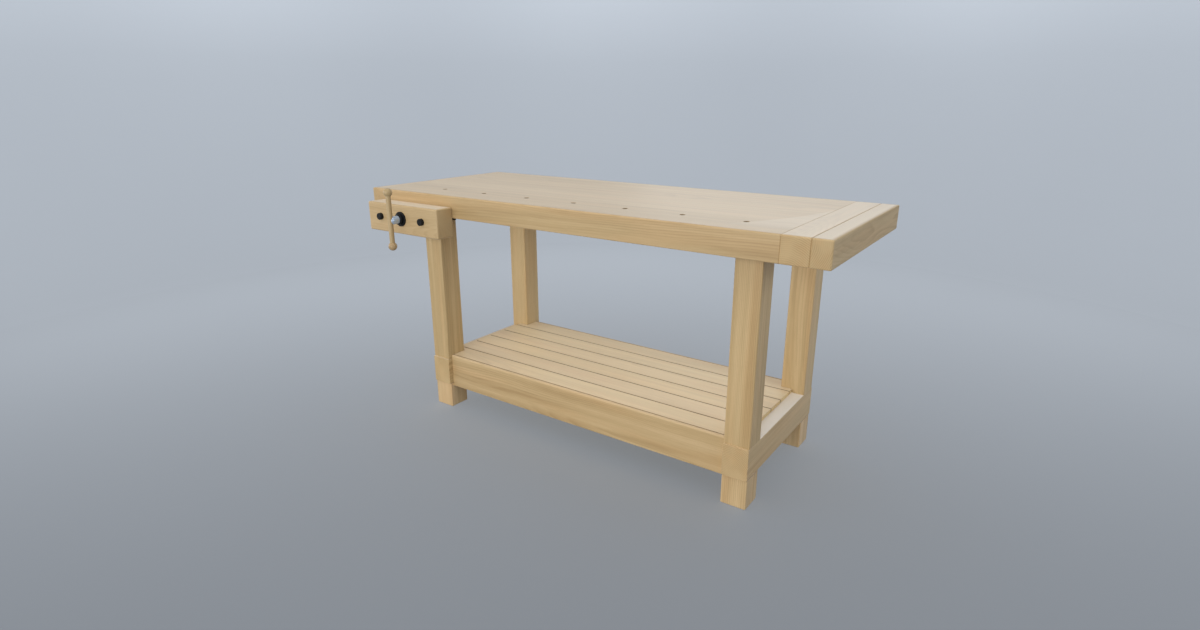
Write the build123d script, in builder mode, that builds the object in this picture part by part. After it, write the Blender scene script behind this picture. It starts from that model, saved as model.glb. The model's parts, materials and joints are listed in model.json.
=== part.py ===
from build123d import *
import os
from math import sqrt

# Woodworking bench with a screw-driven face vise.
# +X runs along the bench from the vise end to the plain end, +Y to the back, +Z up.
# The origin is on the floor, under the middle of the overall footprint, vise included.

os.makedirs("parts", exist_ok=True)

# ---------------------------------------------------------------- bench top
bench_length = 1840.0
bench_depth = 726.0
bench_height = 914.0
top_thickness = 81.0
dog_board_depth = 188.0       # front board of the top, the one that carries the dog holes
left_cap_width = 38.0
right_cap_width = 83.0
end_rail_width = 58.0
top_edge_radius = 5.0
under_edge_radius = 3.0
seam_ease = 1.2               # eased edge on each side of a glued seam
rail_groove_ease = 2.2        # wider vee where the end rail meets its cap
tongue_length = 15.0
tongue_thickness = 25.0
tongue_stop = 30.0            # the tongues and grooves stop this far from the front and back
glue_gap = 0.1                # all round a tenon, tongue or peg in its hole
mortise_end_gap = 2.0         # beyond the end of a blind tenon or peg

dog_hole_radius = 9.5
dog_hole_count = 7
dog_hole_pitch = 211.0
dog_row_setback = 128.0       # row of dog holes from the front face
first_dog_hole = 281.0        # first hole from the left end

peg_radius = 5.0
pegs_per_tongue = 3
peg_end_inset = 110.0         # outermost pegs from the front and back of the top
dowel_radius = 6.0
dowel_length = 60.0

# ---------------------------------------------------------------- trestle frame
leg_section = 88.0
leg_edge_radius = 4.0
end_overhang = 209.0          # top beyond the legs at each end
side_setback = 71.0           # legs in from the front and back faces of the top
foot_height = 105.0
foot_ease = 3.0
beam_height = 112.0
beam_proud = 5.0              # ends of the side beams past the legs
beam_edge_radius = 5.0

top_tenon_width = 60.0
top_tenon_thickness = 30.0
top_tenon_height = 40.0
top_tenon_shoulder = 8.0      # outer shoulder, thin so that the mortise clears the dog holes
post_tenon_width = 40.0
post_tenon_depth = 60.0
post_tenon_in_foot = 60.0

# ---------------------------------------------------------------- shelf
stretcher_thickness = 44.0
stretcher_setback = 14.5      # stretcher face behind the outer face of the legs
stretcher_drop = 12.0         # stretcher below the underside of the side beams
stretcher_edge_radius = 8.0
stretcher_lip = 9.0           # outer part of the stretcher that stays up beside the slats
stub_tenon_length = 20.0
stub_tenon_thickness = 22.0
stub_tenon_height = 80.0
slat_count = 6
slat_thickness = 14.0
slat_gap = 3.0
slat_bearing = 42.0           # length of slat that lies on each side beam
slat_ease = 1.0
slat_leg_gap = 1.0
bearer_width = 60.0
bearer_height = 42.0
bearer_tenon = 12.0

# ---------------------------------------------------------------- vise, jaw side
vise_axis_drop = 11.0         # screw and rod axes below the underside of the top
rod_spacing = 230.0
jaw_length = 386.0
jaw_offset = 4.0              # middle of the jaw to the right of the screw
jaw_thickness = 76.0
jaw_height = 110.0
jaw_top_drop = 40.0           # jaw below the bench top
jaw_edge_radius = 6.0
jaw_back_ease = 2.0
jaw_travel = 120.0
rod_radius = 10.0
rod_cap_radius = 13.0
rod_cap_length = 13.0
rod_cap_ease = 1.5
rod_in_cap = 8.0
rod_beyond_pin = 9.0
stop_pin_radius = 2.5
stop_pin_length = 30.0
stop_margin = 0.6             # stop pin clear of the bush at full travel
collar_flange_radius = 27.5
collar_flange_thickness = 6.0
collar_boss_radius = 20.0
collar_boss_length = 10.0
collar_ease = 1.2
thrust_radius = 18.0
thrust_thickness = 5.0
end_play = 0.3                # between faces of the turning screw and the jaw's fixed pieces

# ---------------------------------------------------------------- vise, screw and handle
screw_radius = 12.0
screw_clearance = 1.0         # round the screw in the jaw and collar
screw_bore_clearance = 2.0    # round the screw in the leg and under the top
screw_neck_radius = 10.0      # front end of the screw, inside the hub
screw_point_ease = 2.0
hub_radius = 15.0
handle_reach = 49.0           # handle axis from the front of the jaw
hub_nose = 3.0                # front of the hub past the handle axis, short of the handle's front
hub_round = 10.0              # length of the hub's rounded front
hub_tip_radius = 9.5          # flat left in the middle of the rounded front
hub_wall_at_neck = 3.0        # solid between the screw's neck and the handle hole
hub_ease = 1.0
hub_pin_radius = 2.5
hub_pin_setback = 13.0        # hub pin from the back face of the hub
handle_radius = 9.2
handle_clearance = 0.3
knob_radius = 16.0
knob_spacing = 200.0          # centre to centre
knob_shoulder = 12.5          # flat inner face of a knob from its centre
knob_socket = 12.0            # depth of the bar in a knob
handle_rest = 4.0             # handle stands this far up through the hub

# ---------------------------------------------------------------- vise, bench side
casting_front_gap = 6.0       # casting behind the front face of the top
casting_depth = 54.0
casting_thickness = 7.0
casting_corner = 8.0
casting_end = 24.0            # casting beyond the rod axes
apron_length = 402.0          # strip along the casting's front edge, out past the ends of the jaw
apron_depth = 8.0
boss_front_gap = 4.0          # bosses behind the casting's front edge
boss_length = 36.0
rod_boss_radius = 17.0
nut_boss_radius = 24.0
pocket_clearance = 1.0        # round the bosses where they are let into the top
bush_wall = 3.0
bush_clearance = 0.08         # running fit on the rods
nut_wall = 7.0
nut_clearance = 0.1           # running fit on the screw
lag_radius = 4.0
lag_length = 48.0
lag_head_across = 13.0
lag_head_height = 5.5
lag_spacing_x = 114.0
lag_spacing_y = 26.0
lag_clearance = 0.2

# ---------------------------------------------------------------- places that follow
vise_reach = jaw_thickness + handle_reach + knob_radius
top_front = (vise_reach - bench_depth) / 2
top_back = top_front + bench_depth
top_mid = (top_front + top_back) / 2
top_left = -bench_length / 2
top_right = bench_length / 2
underside = bench_height - top_thickness
field_left = top_left + left_cap_width
cap_right = top_right - end_rail_width
field_right = cap_right - right_cap_width
board_seam = top_front + dog_board_depth
tongue_low = underside + (top_thickness - tongue_thickness) / 2

beam_top = foot_height + beam_height
shelf_top = beam_top + slat_thickness
leg_x = bench_length / 2 - end_overhang - leg_section / 2
leg_y = bench_depth / 2 - side_setback - leg_section / 2
leg_inner_x = leg_x - leg_section / 2
corners = {
    "front_left": (-1, -1),
    "front_right": (1, -1),
    "back_left": (-1, 1),
    "back_right": (1, 1),
}

vise_x = -leg_x
vise_z = underside - vise_axis_drop
jaw_back = top_front
jaw_front = jaw_back - jaw_thickness
jaw_mid_x = vise_x + jaw_offset
jaw_top = bench_height - jaw_top_drop
casting_front = top_front + casting_front_gap
boss_front = casting_front + boss_front_gap
boss_back = boss_front + boss_length
rod_xs = (vise_x - rod_spacing / 2, vise_x + rod_spacing / 2)
stop_pin_y = boss_back + jaw_travel + stop_margin + stop_pin_radius
rod_end = stop_pin_y + rod_beyond_pin
handle_z = vise_z + handle_rest
handle_y = jaw_front - handle_reach


def facing_back(x, y, z):
    """Upright plane across the bench whose normal points to the back."""
    return Plane(origin=(x, y, z), x_dir=(-1, 0, 0), z_dir=(0, 1, 0))


def facing_right(x, y, z):
    """Upright plane along the depth whose normal points to the right; sketch x runs to the back."""
    return Plane(origin=(x, y, z), x_dir=(0, 1, 0), z_dir=(1, 0, 0))


def turned(x, y, z):
    """Plane through a turned piece: sketch x runs out of the vise front, sketch y is its radius."""
    return Plane(origin=(x, y, z), x_dir=(0, -1, 0), z_dir=(1, 0, 0))


# ================================================================ bench top
dog_holes = []
for i in range(dog_hole_count):
    dog_holes.append((top_left + first_dog_hole + i * dog_hole_pitch, top_front + dog_row_setback))

front_mortises = []
back_mortises = []
tenon_in = top_tenon_shoulder + top_tenon_thickness / 2
tenon_y = leg_y + leg_section / 2 - tenon_in
for side in (-1, 1):
    front_mortises.append((side * leg_x, top_mid - tenon_y))
    back_mortises.append((side * leg_x, top_mid + tenon_y))

peg_ys = []
peg_step = (bench_depth - 2 * peg_end_inset) / (pegs_per_tongue - 1)
for i in range(pegs_per_tongue):
    peg_ys.append(top_front + peg_end_inset + i * peg_step)
tongue_peg_xs = (field_left - tongue_length / 2, field_right + tongue_length / 2)
tongue_pegs_at = []
for x in tongue_peg_xs:
    for y in peg_ys:
        tongue_pegs_at.append((x, y))
peg_top = tongue_low + tongue_thickness + peg_radius

field_length = field_right - field_left
field_mid_x = (field_left + field_right) / 2
mortise_width = top_tenon_width + 2 * glue_gap
mortise_thickness = top_tenon_thickness + 2 * glue_gap
mortise_depth = top_tenon_height + mortise_end_gap
lag_ys = (boss_front + boss_length / 2 - lag_spacing_y / 2, boss_front + boss_length / 2 + lag_spacing_y / 2)
lags_at = []
for x in (vise_x - lag_spacing_x / 2, vise_x + lag_spacing_x / 2):
    for y in lag_ys:
        lags_at.append((x, y))

# Front board of the top: dog holes, mortises for the front legs, and the vise's pockets below.
with BuildPart() as top_dog_board:
    with BuildSketch(facing_right(field_left, 0, 0)) as board_section:
        with Locations(((top_front + board_seam) / 2, underside + top_thickness / 2)):
            Rectangle(dog_board_depth, top_thickness)
        front_corners = board_section.vertices().group_by(Axis.X)[0]
        fillet(front_corners.sort_by(Axis.Y)[-1], radius=top_edge_radius)
        front_corners = board_section.vertices().group_by(Axis.X)[0]
        fillet(front_corners.sort_by(Axis.Y)[0], radius=under_edge_radius)
    extrude(amount=field_length)
    seam_edges = top_dog_board.edges().filter_by(Axis.Y).group_by(Axis.Z)[-1]
    chamfer(seam_edges, length=seam_ease)
    for end_x in (field_left, field_right):
        tongue_front = top_front + tongue_stop
        with BuildSketch(Plane.XY.offset(tongue_low)):
            with Locations((end_x, (tongue_front + board_seam) / 2)):
                Rectangle(2 * tongue_length, board_seam - tongue_front)
        extrude(amount=tongue_thickness)
    with BuildSketch(Plane.XY.offset(underside)):
        with Locations(*dog_holes):
            Circle(dog_hole_radius)
    extrude(amount=top_thickness, mode=Mode.SUBTRACT)
    with BuildSketch(Plane.XY.offset(underside)):
        with Locations(*front_mortises):
            Rectangle(mortise_width, mortise_thickness)
    extrude(amount=mortise_depth, mode=Mode.SUBTRACT)
    with BuildSketch(facing_back(vise_x, top_front, vise_z)):
        Circle(screw_radius + screw_bore_clearance)
    extrude(amount=dog_board_depth, mode=Mode.SUBTRACT)
    with BuildSketch(facing_back(vise_x, casting_front, vise_z)):
        with Locations((-rod_spacing / 2, 0), (rod_spacing / 2, 0)):
            Circle(rod_boss_radius + pocket_clearance)
        Circle(nut_boss_radius + pocket_clearance)
    extrude(amount=boss_front_gap + boss_length + pocket_clearance, mode=Mode.SUBTRACT)
    with BuildSketch(Plane.XY.offset(underside)):
        with Locations(*lags_at):
            Circle(lag_radius + glue_gap)
    extrude(amount=lag_length - casting_thickness + mortise_end_gap, mode=Mode.SUBTRACT)
    with BuildSketch(Plane.XY.offset(underside)):
        with Locations(*tongue_pegs_at):
            Circle(peg_radius + glue_gap)
    extrude(amount=peg_top - underside, mode=Mode.SUBTRACT)
top_dog_board.part.label = "top_dog_board"
export_step(top_dog_board.part, "parts/top_dog_board.step")

# Main field of the top, glued behind the dog board.
with BuildPart() as top_field:
    with BuildSketch(facing_right(field_left, 0, 0)) as field_section:
        with Locations(((board_seam + top_back) / 2, underside + top_thickness / 2)):
            Rectangle(top_back - board_seam, top_thickness)
        back_corners = field_section.vertices().group_by(Axis.X)[-1]
        fillet(back_corners.sort_by(Axis.Y)[-1], radius=top_edge_radius)
        back_corners = field_section.vertices().group_by(Axis.X)[-1]
        fillet(back_corners.sort_by(Axis.Y)[0], radius=under_edge_radius)
    extrude(amount=field_length)
    seam_edges = top_field.edges().filter_by(Axis.Y).group_by(Axis.Z)[-1]
    chamfer(seam_edges, length=seam_ease)
    for end_x in (field_left, field_right):
        tongue_back = top_back - tongue_stop
        with BuildSketch(Plane.XY.offset(tongue_low)):
            with Locations((end_x, (board_seam + tongue_back) / 2)):
                Rectangle(2 * tongue_length, tongue_back - board_seam)
        extrude(amount=tongue_thickness)
    with BuildSketch(Plane.XY.offset(underside)):
        with Locations(*back_mortises):
            Rectangle(mortise_width, mortise_thickness)
    extrude(amount=mortise_depth, mode=Mode.SUBTRACT)
    with BuildSketch(Plane.XY.offset(underside)):
        with Locations(*tongue_pegs_at):
            Circle(peg_radius + glue_gap)
    extrude(amount=peg_top - underside, mode=Mode.SUBTRACT)
top_field.part.label = "top_field"
export_step(top_field.part, "parts/top_field.step")

groove_length = bench_depth - 2 * tongue_stop + 2 * glue_gap
groove_height = tongue_thickness + 2 * glue_gap
groove_depth = tongue_length + mortise_end_gap

# Narrow cap across the left end.
with BuildPart() as left_end_cap:
    with BuildSketch(Plane.XY.offset(underside)):
        with Locations((top_left + left_cap_width / 2, top_mid)):
            Rectangle(left_cap_width, bench_depth)
    extrude(amount=top_thickness)
    fillet(left_end_cap.edges().filter_by(Axis.Z).group_by(Axis.X)[0], radius=top_edge_radius)
    inner_edges = left_end_cap.edges().filter_by(Axis.Y).group_by(Axis.X)[-1]
    top_edges = left_end_cap.faces().sort_by(Axis.Z)[-1].edges() - inner_edges
    fillet(top_edges, radius=top_edge_radius)
    inner_edges = left_end_cap.edges().filter_by(Axis.Y).group_by(Axis.X)[-1]
    low_edges = left_end_cap.faces().sort_by(Axis.Z)[0].edges() - inner_edges
    fillet(low_edges, radius=under_edge_radius)
    inner_face = left_end_cap.faces().filter_by(Axis.X).sort_by(Axis.X)[-1]
    chamfer(inner_face.edges().sort_by(Axis.Z)[-1], length=seam_ease)
    with BuildSketch(Plane.XY.offset(tongue_low - glue_gap)):
        with Locations((field_left - groove_depth / 2, top_mid)):
            Rectangle(groove_depth, groove_length)
    extrude(amount=groove_height, mode=Mode.SUBTRACT)
    with BuildSketch(Plane.XY.offset(underside)):
        with Locations(*tongue_pegs_at):
            Circle(peg_radius + glue_gap)
    extrude(amount=peg_top - underside, mode=Mode.SUBTRACT)
left_end_cap.part.label = "left_end_cap"
export_step(left_end_cap.part, "parts/left_end_cap.step")

dowels_at = []
for y in peg_ys:
    dowels_at.append((y, underside + top_thickness / 2))
dowel_hole = dowel_length + 2 * mortise_end_gap

# Wide cap across the right end, between the field and the end rail.
with BuildPart() as right_end_cap:
    with BuildSketch(facing_right(field_right, 0, 0)) as cap_section:
        with Locations((top_mid, underside + top_thickness / 2)):
            Rectangle(bench_depth, top_thickness)
        fillet(cap_section.vertices().group_by(Axis.Y)[-1], radius=top_edge_radius)
        fillet(cap_section.vertices().group_by(Axis.Y)[0], radius=under_edge_radius)
    extrude(amount=right_cap_width)
    top_seams = right_end_cap.edges().filter_by(Axis.Y).group_by(Axis.Z)[-1]
    chamfer(top_seams.sort_by(Axis.X)[0], length=seam_ease)
    top_seams = right_end_cap.faces().sort_by(Axis.X)[-1].edges()
    chamfer(top_seams, length=rail_groove_ease)
    with BuildSketch(Plane.XY.offset(tongue_low - glue_gap)):
        with Locations((field_right + groove_depth / 2, top_mid)):
            Rectangle(groove_depth, groove_length)
    extrude(amount=groove_height, mode=Mode.SUBTRACT)
    with BuildSketch(Plane.XY.offset(underside)):
        with Locations(*tongue_pegs_at):
            Circle(peg_radius + glue_gap)
    extrude(amount=peg_top - underside, mode=Mode.SUBTRACT)
    with BuildSketch(facing_right(cap_right - dowel_hole / 2, 0, 0)):
        with Locations(*dowels_at):
            Circle(dowel_radius + glue_gap)
    extrude(amount=dowel_hole, mode=Mode.SUBTRACT)
right_end_cap.part.label = "right_end_cap"
export_step(right_end_cap.part, "parts/right_end_cap.step")

# Outer rail across the right end.
with BuildPart() as right_end_rail:
    with BuildSketch(Plane.XY.offset(underside)):
        with Locations((top_right - end_rail_width / 2, top_mid)):
            Rectangle(end_rail_width, bench_depth)
    extrude(amount=top_thickness)
    fillet(right_end_rail.edges().filter_by(Axis.Z).group_by(Axis.X)[-1], radius=top_edge_radius)
    inner_edges = right_end_rail.edges().filter_by(Axis.Y).group_by(Axis.X)[0]
    top_edges = right_end_rail.faces().sort_by(Axis.Z)[-1].edges() - inner_edges
    fillet(top_edges, radius=top_edge_radius)
    inner_edges = right_end_rail.edges().filter_by(Axis.Y).group_by(Axis.X)[0]
    low_edges = right_end_rail.faces().sort_by(Axis.Z)[0].edges() - inner_edges
    fillet(low_edges, radius=under_edge_radius)
    inner_face = right_end_rail.faces().filter_by(Axis.X).sort_by(Axis.X)[0]
    chamfer(inner_face.edges(), length=rail_groove_ease)
    with BuildSketch(facing_right(cap_right - dowel_hole / 2, 0, 0)):
        with Locations(*dowels_at):
            Circle(dowel_radius + glue_gap)
    extrude(amount=dowel_hole, mode=Mode.SUBTRACT)
right_end_rail.part.label = "right_end_rail"
export_step(right_end_rail.part, "parts/right_end_rail.step")

# Pegs driven up from below through the tongues of the top.
with BuildPart() as tongue_pegs:
    with BuildSketch(Plane.XY.offset(underside)):
        with Locations(*tongue_pegs_at):
            Circle(peg_radius)
    extrude(amount=peg_top - underside)
tongue_pegs.part.label = "tongue_pegs"
export_step(tongue_pegs.part, "parts/tongue_pegs.step")

# Dowels between the right cap and the end rail.
with BuildPart() as rail_dowels:
    with BuildSketch(facing_right(cap_right - dowel_length / 2, 0, 0)):
        with Locations(*dowels_at):
            Circle(dowel_radius)
    extrude(amount=dowel_length)
rail_dowels.part.label = "rail_dowels"
export_step(rail_dowels.part, "parts/rail_dowels.step")

# ================================================================ trestle frame
post_length = beam_height + post_tenon_in_foot
for corner, (side_x, side_y) in corners.items():
    x = side_x * leg_x
    y = top_mid + side_y * leg_y

    # Post: long tenon down through the beam into the foot, short tenon up into the top.
    with BuildPart() as leg:
        with BuildSketch(Plane.XY.offset(beam_top)):
            with Locations((x, y)):
                RectangleRounded(leg_section, leg_section, leg_edge_radius)
        extrude(amount=underside - beam_top)
        with BuildSketch(Plane.XY.offset(underside)):
            with Locations((x, top_mid + side_y * tenon_y)):
                Rectangle(top_tenon_width, top_tenon_thickness)
        extrude(amount=top_tenon_height)
        with BuildSketch(Plane.XY.offset(beam_top - post_length)):
            with Locations((x, y)):
                Rectangle(post_tenon_width, post_tenon_depth)
        extrude(amount=post_length)
        chamfer(leg.faces().sort_by(Axis.Z)[0].edges(), length=foot_ease)
        if corner == "front_left":
            with BuildSketch(facing_back(vise_x, y - leg_section / 2, vise_z)):
                Circle(screw_radius + screw_bore_clearance)
            extrude(amount=leg_section, mode=Mode.SUBTRACT)
    leg.part.label = "leg_" + corner
    export_step(leg.part, "parts/leg_" + corner + ".step")

    # Foot block under the beam, with a socket for the end of the post.
    with BuildPart() as foot:
        with BuildSketch():
            with Locations((x, y)):
                RectangleRounded(leg_section, leg_section, leg_edge_radius)
        extrude(amount=foot_height)
        chamfer(foot.faces().sort_by(Axis.Z)[0].edges(), length=foot_ease)
        socket_depth = post_tenon_in_foot + mortise_end_gap
        with BuildSketch(Plane.XY.offset(foot_height - socket_depth)):
            with Locations((x, y)):
                Rectangle(post_tenon_width + 2 * glue_gap, post_tenon_depth + 2 * glue_gap)
        extrude(amount=socket_depth, mode=Mode.SUBTRACT)
    foot.part.label = "foot_" + corner
    export_step(foot.part, "parts/foot_" + corner + ".step")

beam_length = 2 * (leg_y + leg_section / 2 + beam_proud)
beam_mid_z = foot_height + beam_height / 2
stretcher_y = leg_y + leg_section / 2 - stretcher_setback - stretcher_thickness / 2
stub_low = beam_mid_z - stub_tenon_height / 2
stretcher_peg_x = leg_inner_x + stub_tenon_length / 2
stretcher_peg_top = stub_low + stub_tenon_height - peg_radius

for side_name, side_x in (("left", -1), ("right", 1)):
    # Beam across the trestle, pierced by both posts, with sockets for the stretchers.
    with BuildPart() as side_beam:
        with BuildSketch(facing_back(side_x * leg_x, top_mid - beam_length / 2, beam_mid_z)):
            RectangleRounded(leg_section, beam_height, beam_edge_radius)
        extrude(amount=beam_length)
        end_faces = side_beam.faces().filter_by(Axis.Y)
        chamfer(end_faces.edges(), length=seam_ease)
        with BuildSketch(Plane.XY.offset(foot_height)):
            with Locations((side_x * leg_x, top_mid - leg_y), (side_x * leg_x, top_mid + leg_y)):
                Rectangle(post_tenon_width + 2 * glue_gap, post_tenon_depth + 2 * glue_gap)
        extrude(amount=beam_height, mode=Mode.SUBTRACT)
        with BuildSketch(Plane.XY.offset(stub_low - glue_gap)):
            with Locations(
                (side_x * (leg_inner_x + stub_tenon_length / 2), top_mid - stretcher_y),
                (side_x * (leg_inner_x + stub_tenon_length / 2), top_mid + stretcher_y),
            ):
                Rectangle(stub_tenon_length + 2 * glue_gap, stub_tenon_thickness + 2 * glue_gap)
        extrude(amount=stub_tenon_height + 2 * glue_gap, mode=Mode.SUBTRACT)
        with BuildSketch(Plane.XY.offset(foot_height)):
            with Locations(
                (side_x * stretcher_peg_x, top_mid - stretcher_y),
                (side_x * stretcher_peg_x, top_mid + stretcher_y),
            ):
                Circle(peg_radius + glue_gap)
        extrude(amount=stretcher_peg_top - foot_height, mode=Mode.SUBTRACT)
    side_beam.part.label = "side_beam_" + side_name
    export_step(side_beam.part, "parts/side_beam_" + side_name + ".step")

# ================================================================ shelf
stretcher_low = foot_height - stretcher_drop
for side_name, side_y, outer_group in (("front", -1, 0), ("back", 1, -1)):
    y = top_mid + side_y * stretcher_y
    outer_y = y + side_y * stretcher_thickness / 2
    inner_y = y - side_y * stretcher_thickness / 2
    lip_y = outer_y - side_y * stretcher_lip
    bearer_y = inner_y + side_y * bearer_tenon

    # Stretcher: rebated along its inner top edge for the first slat, stub tenons at the ends.
    with BuildPart() as stretcher:
        with BuildSketch(facing_right(-leg_inner_x, 0, 0)) as rail_section:
            with BuildLine():
                Polyline(
                    (outer_y, stretcher_low),
                    (outer_y, shelf_top),
                    (lip_y, shelf_top),
                    (lip_y, beam_top),
                    (inner_y, beam_top),
                    (inner_y, stretcher_low),
                    close=True,
                )
            make_face()
            outer_corners = rail_section.vertices().group_by(Axis.X)[outer_group]
            fillet(outer_corners.sort_by(Axis.Y)[-1], radius=stretcher_edge_radius)
            outer_corners = rail_section.vertices().group_by(Axis.X)[outer_group]
            fillet(outer_corners.sort_by(Axis.Y)[0], radius=under_edge_radius)
        extrude(amount=2 * leg_inner_x)
        with BuildSketch(Plane.XY.offset(stub_low)):
            with Locations((0, y)):
                Rectangle(2 * (leg_inner_x + stub_tenon_length), stub_tenon_thickness)
        extrude(amount=stub_tenon_height)
        with BuildSketch(Plane.XY.offset(beam_top - bearer_height - glue_gap)):
            with Locations((0, (inner_y + bearer_y) / 2)):
                Rectangle(bearer_width + 2 * glue_gap, bearer_tenon + 2 * glue_gap)
        extrude(amount=bearer_height + glue_gap, mode=Mode.SUBTRACT)
        with BuildSketch(Plane.XY.offset(foot_height)):
            with Locations((-stretcher_peg_x, y), (stretcher_peg_x, y)):
                Circle(peg_radius + glue_gap)
        extrude(amount=stretcher_peg_top - foot_height, mode=Mode.SUBTRACT)
    stretcher.part.label = "stretcher_" + side_name
    export_step(stretcher.part, "parts/stretcher_" + side_name + ".step")

# Pegs up through the beams and the stub tenons.
with BuildPart() as stretcher_pegs:
    with BuildSketch(Plane.XY.offset(foot_height)):
        with Locations(
            (-stretcher_peg_x, top_mid - stretcher_y),
            (-stretcher_peg_x, top_mid + stretcher_y),
            (stretcher_peg_x, top_mid - stretcher_y),
            (stretcher_peg_x, top_mid + stretcher_y),
        ):
            Circle(peg_radius)
    extrude(amount=stretcher_peg_top - foot_height)
stretcher_pegs.part.label = "stretcher_pegs"
export_step(stretcher_pegs.part, "parts/stretcher_pegs.step")

# Bearer under the middle of the slats, let into both stretchers.
bearer_length = 2 * (stretcher_y - stretcher_thickness / 2 + bearer_tenon)
with BuildPart() as shelf_bearer:
    with BuildSketch(Plane.XY.offset(beam_top - bearer_height)):
        with Locations((0, top_mid)):
            Rectangle(bearer_width, bearer_length)
    extrude(amount=bearer_height)
    low_edges = shelf_bearer.faces().sort_by(Axis.Z)[0].edges().filter_by(Axis.Y)
    chamfer(low_edges, length=under_edge_radius)
shelf_bearer.part.label = "shelf_bearer"
export_step(shelf_bearer.part, "parts/shelf_bearer.step")

# Slats: the outer two are notched round the legs.
shelf_front = top_mid - (stretcher_y + stretcher_thickness / 2 - stretcher_lip)
shelf_depth = 2 * (stretcher_y + stretcher_thickness / 2 - stretcher_lip)
slat_pitch = (shelf_depth - slat_gap) / slat_count
slat_width = slat_pitch - slat_gap
slat_half = leg_inner_x + slat_bearing
leg_in = leg_y - leg_section / 2 - slat_leg_gap
for i in range(slat_count):
    slat_front = shelf_front + slat_gap + i * slat_pitch
    with BuildPart() as slat:
        with BuildSketch(Plane.XY.offset(beam_top)):
            with Locations((0, slat_front + slat_width / 2)):
                Rectangle(2 * slat_half, slat_width)
        extrude(amount=slat_thickness)
        top_arris = slat.faces().sort_by(Axis.Z)[-1].edges()
        fillet(top_arris, radius=slat_ease)
        if slat_front < top_mid - leg_in or slat_front + slat_width > top_mid + leg_in:
            notch_length = slat_bearing + slat_leg_gap
            notch_x = leg_inner_x - slat_leg_gap + notch_length / 2
            notch_depth = bench_depth / 2 - leg_in
            with BuildSketch(Plane.XY.offset(beam_top)):
                with Locations(
                    (-notch_x, top_mid - leg_in - notch_depth / 2),
                    (notch_x, top_mid - leg_in - notch_depth / 2),
                    (-notch_x, top_mid + leg_in + notch_depth / 2),
                    (notch_x, top_mid + leg_in + notch_depth / 2),
                ):
                    Rectangle(notch_length, notch_depth)
            extrude(amount=slat_thickness, mode=Mode.SUBTRACT)
    slat.part.label = "slat_" + str(i + 1)
    export_step(slat.part, "parts/slat_" + str(i + 1) + ".step")

# ================================================================ vise, bench side
bush_outer = rod_radius + bush_clearance + bush_wall
nut_outer = screw_radius + nut_clearance + nut_wall

# Casting bolted under the top: flat flange with a long front strip, two rod bosses and the nut boss.
with BuildPart() as vise_casting:
    with BuildSketch(Plane.XY.offset(underside - casting_thickness)):
        with Locations((vise_x, casting_front + casting_depth / 2)):
            RectangleRounded(rod_spacing + 2 * casting_end, casting_depth, casting_corner)
        with Locations((vise_x, casting_front + apron_depth / 2)):
            Rectangle(apron_length, apron_depth)
    extrude(amount=casting_thickness)
    with BuildSketch(facing_back(vise_x, boss_front, vise_z)):
        with Locations((-rod_spacing / 2, 0), (rod_spacing / 2, 0)):
            Circle(rod_boss_radius)
        Circle(nut_boss_radius)
    extrude(amount=boss_length)
    with BuildSketch(Plane.XY.offset(underside - casting_thickness)):
        with Locations(*lags_at):
            Circle(lag_radius + lag_clearance)
    extrude(amount=casting_thickness, mode=Mode.SUBTRACT)
    with BuildSketch(facing_back(vise_x, casting_front, vise_z)):
        with Locations((-rod_spacing / 2, 0), (rod_spacing / 2, 0)):
            Circle(bush_outer)
        Circle(nut_outer)
    extrude(amount=casting_depth, mode=Mode.SUBTRACT)
vise_casting.part.label = "vise_casting"
export_step(vise_casting.part, "parts/vise_casting.step")

# Bronze bushes for the guide rods.
with BuildPart() as guide_bushes:
    with BuildSketch(facing_back(vise_x, boss_front, vise_z)):
        with Locations((-rod_spacing / 2, 0), (rod_spacing / 2, 0)):
            Circle(bush_outer)
            Circle(rod_radius + bush_clearance, mode=Mode.SUBTRACT)
    extrude(amount=boss_length)
guide_bushes.part.label = "guide_bushes"
export_step(guide_bushes.part, "parts/guide_bushes.step")

# Bronze nut in the middle boss.
with BuildPart() as vise_nut:
    with BuildSketch(facing_back(vise_x, boss_front, vise_z)):
        Circle(nut_outer)
        Circle(screw_radius + nut_clearance, mode=Mode.SUBTRACT)
    extrude(amount=boss_length)
vise_nut.part.label = "vise_nut"
export_step(vise_nut.part, "parts/vise_nut.step")

# Hexagon lag screws up through the casting.
with BuildPart() as casting_lags:
    with BuildSketch(Plane.XY.offset(underside - casting_thickness)):
        with Locations(*lags_at):
            Circle(lag_radius)
    extrude(amount=lag_length)
    chamfer(casting_lags.faces().group_by(Axis.Z)[-1].edges(), length=lag_radius / 2)
    with BuildSketch(Plane.XY.offset(underside - casting_thickness - lag_head_height)):
        with Locations(*lags_at):
            RegularPolygon(radius=lag_head_across / 2, side_count=6, major_radius=False)
    extrude(amount=lag_head_height)
casting_lags.part.label = "casting_lags"
export_step(casting_lags.part, "parts/casting_lags.step")

# ================================================================ vise, jaw side
thrust_pocket = thrust_thickness + end_play

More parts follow.
